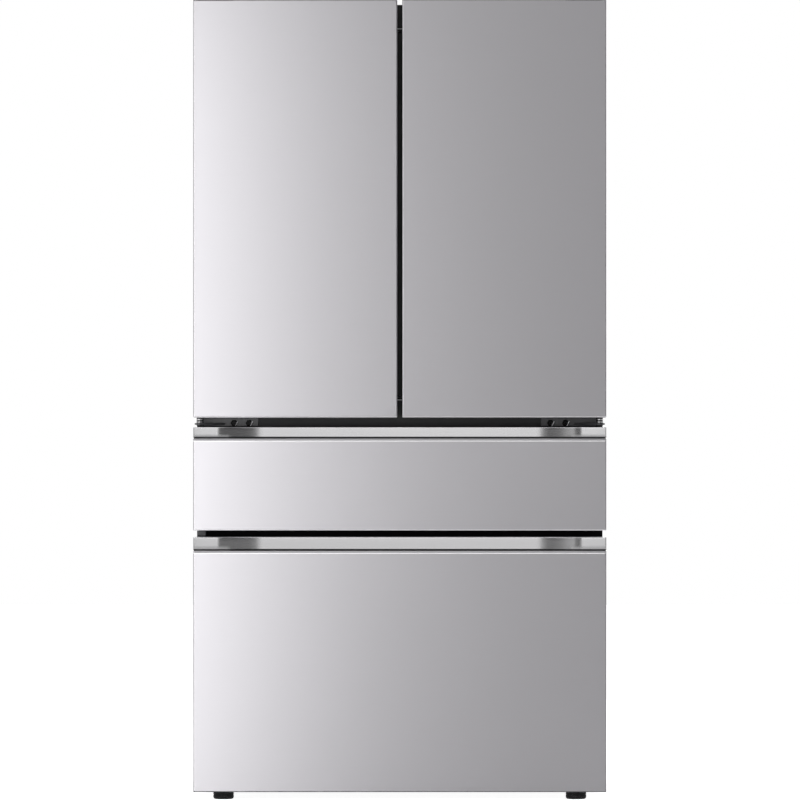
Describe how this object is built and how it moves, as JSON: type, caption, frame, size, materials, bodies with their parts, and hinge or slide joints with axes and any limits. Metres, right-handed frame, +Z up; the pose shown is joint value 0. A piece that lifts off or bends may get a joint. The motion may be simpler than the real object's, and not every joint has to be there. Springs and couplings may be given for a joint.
{
  "type": "french door refrigerator",
  "caption": "Tall bottom-freezer refrigerator with two hinged doors over two wide pull-out drawers, recessed handle strips and brushed steel fronts.",
  "frame": {"origin": "on the floor, under the middle of the overall box", "axes": "+Z up, -Y out of the front (doors and drawers open towards -Y), +X to the viewer's right"},
  "size_m": [0.908, 0.87, 1.768],
  "materials": {
    "back_panel": "galvanised sheet",
    "base_frame": "black painted sheet",
    "cabinet_slide_rails": "zinc plated",
    "cabinet_wrapper": "dark textured paint",
    "ceiling_light": "frosted cover",
    "centre_hinges": "dark grey paint",
    "compressor": "black gloss paint",
    "condenser_coil": "black paint",
    "condenser_fan": "moulded plastic",
    "condenser_fan_frame": "moulded plastic",
    "control_panel": "gloss black",
    "crisper_cover": "satin moulded plastic",
    "crisper_drawers": "clear moulded plastic",
    "evaporator_coil": "bare aluminium",
    "evaporator_cover": "satin moulded plastic",
    "evaporator_fan": "moulded plastic",
    "face_frame": "black painted sheet",
    "flip_mullion": "dark paint",
    "foam_insulation": "cut foam",
    "freezer_drawer_basket": "clear moulded plastic",
    "freezer_drawer_gasket": "matt rubber",
    "freezer_drawer_handle": "satin anodised",
    "freezer_drawer_liner": "satin moulded plastic",
    "freezer_drawer_skin": "satin brushed, coated",
    "freezer_drawer_slides": "zinc plated",
    "freezer_liner": "satin moulded plastic",
    "freezer_tray": "clear moulded plastic",
    "fresh_food_liner": "satin moulded plastic",
    "hinge_covers": "moulded plastic",
    "hinge_screws": "zinc plated",
    "left_door_bins": "clear moulded plastic",
    "left_door_caps": "moulded plastic",
    "left_door_gasket": "matt rubber",
    "left_door_liner": "satin moulded plastic",
    "left_door_skin": "satin brushed, coated",
    "left_levelling_leg": "moulded plastic",
    "left_rear_roller": "moulded plastic",
    "machine_cover": "galvanised sheet",
    "middle_drawer_bin": "clear moulded plastic",
    "middle_drawer_gasket": "matt rubber",
    "middle_drawer_handle": "satin anodised",
    "middle_drawer_liner": "satin moulded plastic",
    "middle_drawer_skin": "satin brushed, coated",
    "middle_drawer_slides": "zinc plated",
    "middle_liner": "satin moulded plastic",
    "power_cord_gland": "matt rubber",
    "rear_duct_panel": "satin moulded plastic",
    "right_door_bins": "clear moulded plastic",
    "right_door_caps": "moulded plastic",
    "right_door_gasket": "matt rubber",
    "right_door_liner": "satin moulded plastic",
    "right_door_skin": "satin brushed, coated",
    "right_levelling_leg": "moulded plastic",
    "right_rear_roller": "moulded plastic",
    "shelf_frames": "satin moulded plastic",
    "shelf_glass": "clear tempered glass",
    "sliding_shelf": "clear tempered glass",
    "sliding_shelf_frame": "satin moulded plastic",
    "top_hinges": "black zinc",
    "water_inlet_valve": "moulded plastic"
  },
  "bodies": {
    "cabinet": {"back_panel": "back_panel", "base_frame": "base_frame", "cabinet_slide_rails": "cabinet_slide_rails", "cabinet_wrapper": "cabinet_wrapper", "ceiling_light": "ceiling_light", "centre_hinges": "centre_hinges", "compressor": "compressor", "condenser_coil": "condenser_coil", "condenser_fan_frame": "condenser_fan_frame", "control_panel": "control_panel", "crisper_cover": "crisper_cover", "crisper_drawers": "crisper_drawers", "evaporator_coil": "evaporator_coil", "evaporator_cover": "evaporator_cover", "face_frame": "face_frame", "foam_insulation": "foam_insulation", "freezer_liner": "freezer_liner", "fresh_food_liner": "fresh_food_liner", "hinge_covers": "hinge_covers", "hinge_screws": "hinge_screws", "machine_cover": "machine_cover", "middle_liner": "middle_liner", "power_cord_gland": "power_cord_gland", "rear_duct_panel": "rear_duct_panel", "shelf_frames": "shelf_frames", "shelf_glass": "shelf_glass", "sliding_shelf_frame": "sliding_shelf_frame", "top_hinges": "top_hinges", "water_inlet_valve": "water_inlet_valve"},
    "left_door": {"left_door_skin": "left_door_skin", "left_door_liner": "left_door_liner", "left_door_caps": "left_door_caps", "left_door_gasket": "left_door_gasket", "left_door_bins": "left_door_bins"},
    "right_door": {"right_door_skin": "right_door_skin", "right_door_liner": "right_door_liner", "right_door_caps": "right_door_caps", "right_door_gasket": "right_door_gasket", "right_door_bins": "right_door_bins"},
    "mullion": {"flip_mullion": "flip_mullion"},
    "middle_drawer": {"middle_drawer_skin": "middle_drawer_skin", "middle_drawer_handle": "middle_drawer_handle", "middle_drawer_liner": "middle_drawer_liner", "middle_drawer_gasket": "middle_drawer_gasket", "middle_drawer_bin": "middle_drawer_bin", "middle_drawer_slides": "middle_drawer_slides"},
    "freezer_drawer": {"freezer_drawer_skin": "freezer_drawer_skin", "freezer_drawer_handle": "freezer_drawer_handle", "freezer_drawer_liner": "freezer_drawer_liner", "freezer_drawer_gasket": "freezer_drawer_gasket", "freezer_drawer_basket": "freezer_drawer_basket", "freezer_drawer_slides": "freezer_drawer_slides"},
    "upper_tray": {"freezer_tray": "freezer_tray"},
    "half_shelf": {"sliding_shelf": "sliding_shelf"},
    "left_leg": {"left_levelling_leg": "left_levelling_leg"},
    "right_leg": {"right_levelling_leg": "right_levelling_leg"},
    "left_roller": {"left_rear_roller": "left_rear_roller"},
    "right_roller": {"right_rear_roller": "right_rear_roller"},
    "condenser_fan_rotor": {"condenser_fan": "condenser_fan"},
    "evaporator_fan_rotor": {"evaporator_fan": "evaporator_fan"}
  },
  "joints": [
    {"name": "left_door_hinge", "type": "hinge", "parent": "cabinet", "child": "left_door", "pos_m": [-0.441, -0.397, 0.834], "axis": [0, 0, -1], "range_deg": [0, 110]},
    {"name": "right_door_hinge", "type": "hinge", "parent": "cabinet", "child": "right_door", "pos_m": [0.441, -0.397, 0.834], "axis": [0, 0, 1], "range_deg": [0, 110]},
    {"name": "mullion_flip", "type": "hinge", "parent": "left_door", "child": "mullion", "pos_m": [-0.036, -0.34, 1.293], "axis": [0, 0, 1], "range_deg": [0, 90]},
    {"name": "middle_drawer_slide", "type": "slide", "parent": "cabinet", "child": "middle_drawer", "axis": [0, -1, 0], "range_m": [0, 0.42]},
    {"name": "freezer_drawer_slide", "type": "slide", "parent": "cabinet", "child": "freezer_drawer", "axis": [0, -1, 0], "range_m": [0, 0.45]},
    {"name": "upper_tray_slide", "type": "slide", "parent": "freezer_drawer", "child": "upper_tray", "axis": [0, 1, 0], "range_m": [0, 0.3]},
    {"name": "half_shelf_slide", "type": "slide", "parent": "cabinet", "child": "half_shelf", "axis": [0, 1, 0], "range_m": [0, 0.25]},
    {"name": "left_leg_turn", "type": "hinge", "parent": "cabinet", "child": "left_leg", "pos_m": [-0.39, -0.325, 0.02], "axis": [0, 0, 1], "continuous": true},
    {"name": "right_leg_turn", "type": "hinge", "parent": "cabinet", "child": "right_leg", "pos_m": [0.39, -0.325, 0.02], "axis": [0, 0, 1], "continuous": true},
    {"name": "left_roller_spin", "type": "hinge", "parent": "cabinet", "child": "left_roller", "pos_m": [-0.39, 0.35, 0.017], "axis": [1, 0, 0], "continuous": true},
    {"name": "right_roller_spin", "type": "hinge", "parent": "cabinet", "child": "right_roller", "pos_m": [0.39, 0.35, 0.017], "axis": [1, 0, 0], "continuous": true},
    {"name": "condenser_fan_spin", "type": "hinge", "parent": "cabinet", "child": "condenser_fan_rotor", "pos_m": [0.079, 0.22, 0.148], "axis": [1, 0, 0], "continuous": true},
    {"name": "evaporator_fan_spin", "type": "hinge", "parent": "cabinet", "child": "evaporator_fan_rotor", "pos_m": [0, 0.317, 0.49], "axis": [0, 1, 0], "continuous": true}
  ]
}
